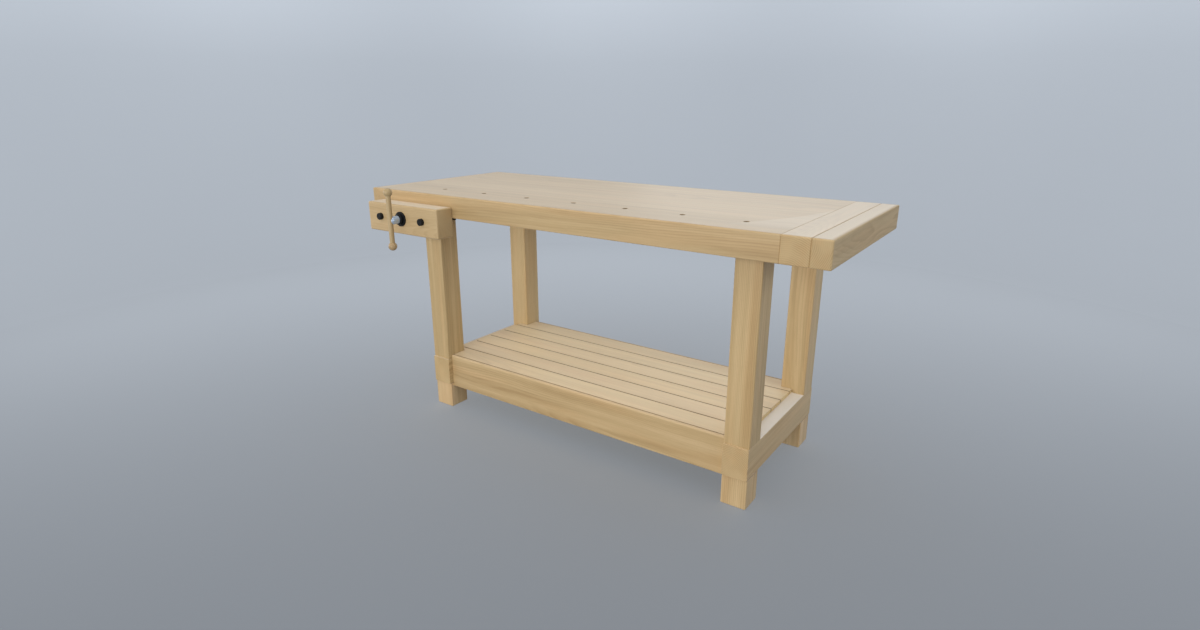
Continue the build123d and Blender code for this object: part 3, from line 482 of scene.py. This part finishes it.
def wood(node, grain, seed, pith, lean, tint_and_light):
    """The material of one board, with the painted sheen and painted shade that its place gives it."""
    board = Wood(node, grain, seed)
    late = board.late_wood(pith, lean)
    colour = board.raw(late, by_start(FIGURES, node, 1.0))
    # The board's own drawn tint, with the painted light of its place multiplied in.
    colour = board.mix(1.0, colour, tint_and_light, "MULTIPLY")
    # Painted sheen on the board's upward faces.
    sheen_share = by_start(PAINTED_SHEEN, node, USUAL_PAINTED_SHEEN)
    if sheen_share:
        colour = board.faded(colour, sheen_share, SHEEN_FREE_RIMS.get(node), by_start(SHEEN_WEDGES, node, 0.0))
    # Painted shade in the gaps between the slats.
    if node.startswith("slat_"):
        colour = board.seamed(board.dusty(colour))
    # Painted shade in the dog holes.
    if node == "top_dog_board":
        colour = board.bored(colour)
    return board.finished(colour, late)


draw = random.Random(41)
nodes = sorted(frame["nodes"])
boards = [(grain, node) for grain in "XYZ" for node in nodes if node.startswith(GRAIN[grain])]
for seed, (grain, node) in enumerate(boards, start=1):
    drawn_pith = draw_pith(draw)
    *pith, lean = PITH.get(node, drawn_pith)
    tint_and_light = [own * given for own, given in zip(draw_tone(draw), by_start(PAINTED_LIGHT_TINTS, node, WHITE))]
    dress(frame["nodes"][node], wood(node, grain, seed, pith, lean, tint_and_light))

# ---------------------------------------------------------------- metals
# Scales of the noise, with finer lines along Y, the axis that the pieces are turned round.
TURNED_STEEL = (700.0, 2400.0, 700.0)
TURNED_BRONZE = (500.0, 1500.0, 500.0)
SMEARS = (38.0, 38.0, 38.0)
PEEL = (420.0, 420.0, 420.0)
DUST = (60.0, 60.0, 60.0)
STAINS = (45.0, 45.0, 45.0)

SMEARED_SHADE = 0.72
SMEAR_SHARE = 0.5
SMEAR_ROUGHNESS = 0.16
LINE_ROUGHNESS = 0.10
ENAMEL_ROUGHNESS = 0.30
DUST_ROUGHNESS = 0.22
BRONZE_ROUGHNESS = 0.25
STAIN_ROUGHNESS = 0.20
BLACKS = ((0.35, (0.006, 0.0065, 0.008)), (0.60, (0.010, 0.011, 0.012)), (0.80, (0.026, 0.026, 0.026)))
BROWNS = ((0.35, (0.48, 0.30, 0.12)), (0.65, (0.62, 0.43, 0.20)))


def steel(name, colour, rough, metallic=1.0):
    """Bright turned steel of this average roughness: fine lines, and smears that darken and dull it."""
    tree = Nodes(name)
    lines = tree.noise(tree.place, TURNED_STEEL)
    smear = tree.noise(tree.place, SMEARS, detail=3.0, rough=0.6)
    smeared = [SMEARED_SHADE * part for part in colour]
    smoothest = rough - (SMEAR_ROUGHNESS + LINE_ROUGHNESS) / 2
    return tree.shade(
        lines, relief=0.00006, strength=0.5, Metallic=metallic,
        Base_Color=tree.mix(tree.math("MULTIPLY", smear, SMEAR_SHARE), colour, smeared),
        Roughness=tree.times(smear, SMEAR_ROUGHNESS, tree.times(lines, LINE_ROUGHNESS, smoothest)),
    )


def enamel(name):
    """Black enamel on cast iron: an orange-peel skin, with dust that greys and dulls it in places."""
    tree = Nodes(name)
    dust = tree.noise(tree.place, DUST, detail=4.0, rough=0.65)
    return tree.shade(
        tree.noise(tree.place, PEEL), relief=0.00025, strength=0.6, Specular_IOR_Level=0.2,
        Base_Color=tree.ramp(dust, BLACKS),
        Roughness=tree.times(dust, DUST_ROUGHNESS, ENAMEL_ROUGHNESS),
    )


def bronze(name):
    """Turned bronze with brown stains."""
    tree = Nodes(name)
    stain = tree.noise(tree.place, STAINS, detail=3.0)
    return tree.shade(
        tree.noise(tree.place, TURNED_BRONZE, detail=1.0), relief=0.00005, strength=0.5, Metallic=1.0,
        Base_Color=tree.ramp(stain, BROWNS),
        Roughness=tree.times(stain, STAIN_ROUGHNESS, BRONZE_ROUGHNESS),
    )


bright = steel("steel_bright", (0.60, 0.62, 0.64), 0.32)
# The hub's blue tint and part-diffuse finish are painted reflection of pale blue surroundings.
blue_reflection_steel = steel("steel_blue_reflection", (0.50, 0.62, 0.78), 0.36, metallic=0.60)
black = enamel("iron_black")
brass = bronze("bronze_turned")
for metal, starts in (
    (bright, ("guide_rod_", "vise_screw", "rod_stop_pins", "hub_pin", "casting_lags")),
    (blue_reflection_steel, ("screw_hub",)),
    (black, ("vise_casting", "screw_collar", "rod_caps")),
    (brass, ("guide_bushes", "vise_nut")),
):
    for node in nodes:
        if node.startswith(starts):
            dress(frame["nodes"][node], metal)

# The handle and the hub throw no shadow, so the jaw behind them is lit as evenly as the rest.
for node in nodes:
    if node.startswith(("handle_", "screw_hub")):
        frame["nodes"][node].visible_shadow = False

# ---------------------------------------------------------------- screw with its thread
# Radii, lengths and chamfers of the vise screw, which lies along Y. The flange has its end play
# behind the collar, the plain shank ends a little inside the jaw's back, and the thread starts
# inside the shank.
NECK = 0.010
SHANK = 0.012
FLANGE = 0.018
FLANGE_THICKNESS = 0.005
END_PLAY = 0.0003
NECK_CHAMFER = 0.0008
FLANGE_CHAMFER = 0.0004
SHANK_CHAMFER = 0.001
SHANK_INSET = 0.001
THREAD_OVERLAP = 0.006
AROUND = 48
# One turn of the thread: root, flank and crest, at their shares of the lead.
THREAD_LEAD = 0.005
ROOT = 0.0096
CREST = 0.0119
THREAD_PROFILE = ((0.0, ROOT), (0.35, ROOT), (0.49, CREST), (0.86, CREST))
SHARP = math.radians(30.0)
WELD = 1e-6

screw_low, screw_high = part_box("vise_screw")
collar_low, collar_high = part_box("screw_collar")
jaw_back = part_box("vise_jaw")[1].y
SCREW_X = (screw_low.x + screw_high.x) / 2
SCREW_Z = (screw_low.z + screw_high.z) / 2


def finish_piece(name, mesh, body):
    """Makes a piece of the mesh, smooth but for its sharp edges, that rides on the body."""
    bmesh.ops.remove_doubles(mesh, verts=mesh.verts, dist=WELD)
    bmesh.ops.recalc_face_normals(mesh, faces=mesh.faces)
    data = bpy.data.meshes.new(name)
    mesh.to_mesh(data)
    mesh.free()
    data.polygons.foreach_set("use_smooth", [True] * len(data.polygons))
    data.set_sharp_from_angle(angle=SHARP)
    piece = bpy.data.objects.new(name, data)
    bpy.context.scene.collection.objects.link(piece)
    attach(piece, body)
    return piece


def ring(mesh, x, y, z, radius, count):
    """A circle round an axis along Y. The radius is a number or a function of the angle."""
    verts = []
    for step in range(count):
        angle = math.tau * step / count
        reach = radius(angle) if callable(radius) else radius
        verts.append(mesh.verts.new((x + reach * math.cos(angle), y, z + reach * math.sin(angle))))
    return verts


def turned(mesh, x, z, outline, count):
    """A closed body round an axis along Y, with rings at the outline's places and radii."""
    rings = [ring(mesh, x, y, z, radius, count) for y, radius in outline]
    for first, second in zip(rings, rings[1:]):
        for here in range(count):
            after = (here + 1) % count
            mesh.faces.new((first[here], first[after], second[after], second[here]))
    mesh.faces.new(rings[0])
    mesh.faces.new(rings[-1])


def thread(mesh, start, end):
    """Right-handed trapezoidal thread between two places along Y; its ends taper down to the root."""
    turns = round((end - start) / THREAD_LEAD) + 1
    steps = turns * AROUND
    rows = []
    for step in range(steps + AROUND + 1):
        angle = -math.tau * step / AROUND
        row = []
        for share, radius in THREAD_PROFILE:
            y = start - THREAD_LEAD + (step / AROUND + share) * THREAD_LEAD
            y = min(max(y, start), end)
            radius = min(radius, ROOT + (y - start), ROOT + (end - y))
            x = SCREW_X + radius * math.cos(angle)
            z = SCREW_Z + radius * math.sin(angle)
            row.append(mesh.verts.new((x, y, z)))
        rows.append(row)
    for step in range(steps):
        row, after = rows[step], rows[step + 1]
        for corner in range(len(THREAD_PROFILE) - 1):
            mesh.faces.new((row[corner], after[corner], after[corner + 1], row[corner + 1]))
        mesh.faces.new((row[-1], after[-1], rows[step + 1 + AROUND][0], rows[step + AROUND][0]))
    for y in (start, end):
        mesh.faces.new(ring(mesh, SCREW_X, y, SCREW_Z, ROOT, AROUND))


neck_end = collar_low.y - END_PLAY
flange_front = collar_high.y + END_PLAY / 2
flange_back = flange_front + FLANGE_THICKNESS
shank_end = jaw_back - SHANK_INSET
mesh = bmesh.new()
turned(mesh, SCREW_X, SCREW_Z, (
    (screw_low.y, NECK - NECK_CHAMFER),
    (screw_low.y + NECK_CHAMFER, NECK),
    (neck_end, NECK),
    (neck_end, SHANK),
    (flange_front, SHANK),
    (flange_front, FLANGE - FLANGE_CHAMFER),
    (flange_front + FLANGE_CHAMFER, FLANGE),
    (flange_back - FLANGE_CHAMFER, FLANGE),
    (flange_back, FLANGE - FLANGE_CHAMFER),
    (flange_back, SHANK),
    (shank_end - SHANK_CHAMFER, SHANK),
    (shank_end, SHANK - SHANK_CHAMFER),
), AROUND)
thread(mesh, shank_end - THREAD_OVERLAP, screw_high.y)
threaded = finish_piece("threaded_screw", mesh, "screw")
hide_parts("vise_screw")
dress(threaded, bright)

# ---------------------------------------------------------------- screws of the collar
# Button heads with a hexagonal socket, on a circle through the collar's plate.
COLLAR_SCREWS = 4
FIRST_ANGLE = math.radians(45.0)
SCREW_CIRCLE = 0.0236
COLLAR_PLATE = 0.006
HEAD = 0.0028
HEAD_SIDES = 24
# From just inside the plate up the head: the height over the plate, and the share of HEAD.
HEAD_OUTLINE = ((-0.0005, 1.0), (0.0003, 1.0), (0.0010, 0.88), (0.0014, 0.66), (0.0015, 0.55))
SOCKET = 0.0011
SOCKET_HEIGHTS = (0.0015, 0.0007)


def hexagon(angle):
    """How far the wall of the socket is from its middle."""
    side = math.tau / 6
    return SOCKET / math.cos(angle % side - side / 2)


plate = collar_high.y - COLLAR_PLATE
mesh = bmesh.new()
for number in range(COLLAR_SCREWS):
    angle = FIRST_ANGLE + math.tau * number / COLLAR_SCREWS
    x = SCREW_X + SCREW_CIRCLE * math.cos(angle)
    z = SCREW_Z + SCREW_CIRCLE * math.sin(angle)
    head = [(plate - height, share * HEAD) for height, share in HEAD_OUTLINE]
    socket = [(plate - height, hexagon) for height in SOCKET_HEIGHTS]
    turned(mesh, x, z, head + socket, HEAD_SIDES)
screws = finish_piece("collar_screws", mesh, "jaw")
dress(screws, black)

# ---------------------------------------------------------------- floor
# One plain paint with a hardly visible cloud in it.
FLOOR_PAINTS = ((0.345, 0.384, 0.443), (0.355, 0.396, 0.457))
CLOUD_SCALE = (0.8, 0.8, 0.8)
FLOOR_ROUGHNESS = 0.9
FLOOR_RADIUS = 3.6
CURVE = 1.6
CURVE_STEPS = 12
WALL_HEIGHTS = (2.6, 4.2)
STAGE_SIDES = 96


def stage_pieces():
    """A round floor, and a backdrop that curves up from it into a wall, so that no horizon shows."""
    profile = [(FLOOR_RADIUS, 0.0)]
    for step in range(1, CURVE_STEPS + 1):
        angle = math.pi / 2 * step / CURVE_STEPS
        profile.append((FLOOR_RADIUS + CURVE * math.sin(angle), CURVE - CURVE * math.cos(angle)))
    profile += [(FLOOR_RADIUS + CURVE, height) for height in WALL_HEIGHTS]
    verts = []
    for radius, z in profile:
        for side in range(STAGE_SIDES):
            angle = math.tau * side / STAGE_SIDES
            verts.append((radius * math.cos(angle), radius * math.sin(angle), z))
    wall = []
    for low in range(0, len(verts) - STAGE_SIDES, STAGE_SIDES):
        high = low + STAGE_SIDES
        for side in range(STAGE_SIDES):
            after = (side + 1) % STAGE_SIDES
            wall.append((low + side, low + after, high + after, high + side))
    pieces = []
    for name, faces in (("floor", [tuple(range(STAGE_SIDES))]), ("backdrop", wall)):
        data = bpy.data.meshes.new(name)
        data.from_pydata(verts, [], faces)
        data.polygons.foreach_set("use_smooth", [True] * len(faces))
        piece = bpy.data.objects.new(name, data)
        bpy.context.scene.collection.objects.link(piece)
        pieces.append(piece)
    return pieces


tree = Nodes("floor")
cloud = tree.noise(tree.place, CLOUD_SCALE, detail=3.0)
paint = tree.shade(Base_Color=tree.mix(cloud, *FLOOR_PAINTS), Roughness=FLOOR_ROUGHNESS)
floor, backdrop = stage_pieces()
for piece in (floor, backdrop):
    dress(piece, paint)
# The lamps outside the backdrop shine through it, and it throws no light on the bench.
backdrop.visible_shadow = False
backdrop.visible_diffuse = False
backdrop.visible_glossy = False

# ---------------------------------------------------------------- light
AMBIENT = 0.35
BENCH_MIDDLE = (0.0, 0.0, 0.5)
COOL = (0.79, 0.87, 1.0)
WASH_COLOUR = (1.0, 0.985, 0.95)
WASH_RADIUS = 0.5

world = bpy.data.worlds.new("studio")
world.use_nodes = True
background = world.node_tree.nodes["Background"]
background.inputs["Color"].default_value = opaque(WHITE)
background.inputs["Strength"].default_value = AMBIENT
bpy.context.scene.world = world


def linked(name, state):
    """The floor and its backdrop as a collection for light linking."""
    group = bpy.data.collections.new(name)
    for piece in (floor, backdrop):
        group.objects.link(piece)
    for entry in group.collection_objects:
        entry.light_linking.link_state = state
    return group


bench_only = linked("lamps_skip_these", "EXCLUDE")
stage_only = linked("wash_lights_these", "INCLUDE")


def add_light(name, kind, at, watts, colour, receivers):
    """A light that the camera doesn't see, for its receivers alone."""
    light = bpy.data.lights.new(name, kind)
    light.energy = watts
    light.color = colour
    piece = bpy.data.objects.new(name, light)
    piece.location = at
    piece.visible_camera = False
    piece.light_linking.receiver_collection = receivers
    bpy.context.scene.collection.objects.link(piece)
    return piece


def lamp(name, at, size, watts, toward=BENCH_MIDDLE, colour=WHITE, spread=180.0):
    """A soft box that lights all but the floor and its backdrop."""
    piece = add_light(name, "AREA", at, watts, colour, bench_only)
    piece.rotation_euler = (Vector(toward) - Vector(at)).to_track_quat("-Z", "Y").to_euler()
    piece.data.shape = "RECTANGLE"
    piece.data.size, piece.data.size_y = size
    piece.data.spread = math.radians(spread)


def wash(at, watts):
    """A soft lamp that lights the floor and its backdrop alone, and that nothing else shades."""
    piece = add_light("wash", "POINT", at, watts, WASH_COLOUR, stage_only)
    piece.data.shadow_soft_size = WASH_RADIUS
    piece.light_linking.blocker_collection = stage_only


# Five behind the bench, as the photo sees it, so that the floor pales to the back.
wash(at=(2.30, 2.70, 2.65), watts=134.0)
wash(at=(-3.32, -1.24, 2.65), watts=134.0)
wash(at=(0.26, 3.53, 2.6), watts=80.0)
wash(at=(-3.40, 0.97, 2.6), watts=80.0)
wash(at=(-1.84, 2.63, 2.85), watts=147.0)
lamp("key", at=(-0.2, -5.4, 1.5), size=(4.4, 2.8), watts=162.0)
lamp("top", at=(-0.2, -0.6, 3.4), size=(3.0, 2.2), watts=35.0)
lamp("back", at=(-1.3, 6.2, 2.3), size=(4.4, 3.4), watts=38.0)
lamp("right", at=(4.8, -0.4, 2.0), size=(3.0, 2.0), watts=57.0, colour=COOL)
lamp("left", at=(-7.5, -2.2, 2.2), size=(4.4, 3.4), watts=140.0)
# Under the top, for the shelf, which the others hardly reach.
lamp("shelf", at=(0.04, 0.06, 0.815), size=(1.6, 0.36), watts=1.22, toward=(0.04, 0.06, 0.2), spread=120.0)
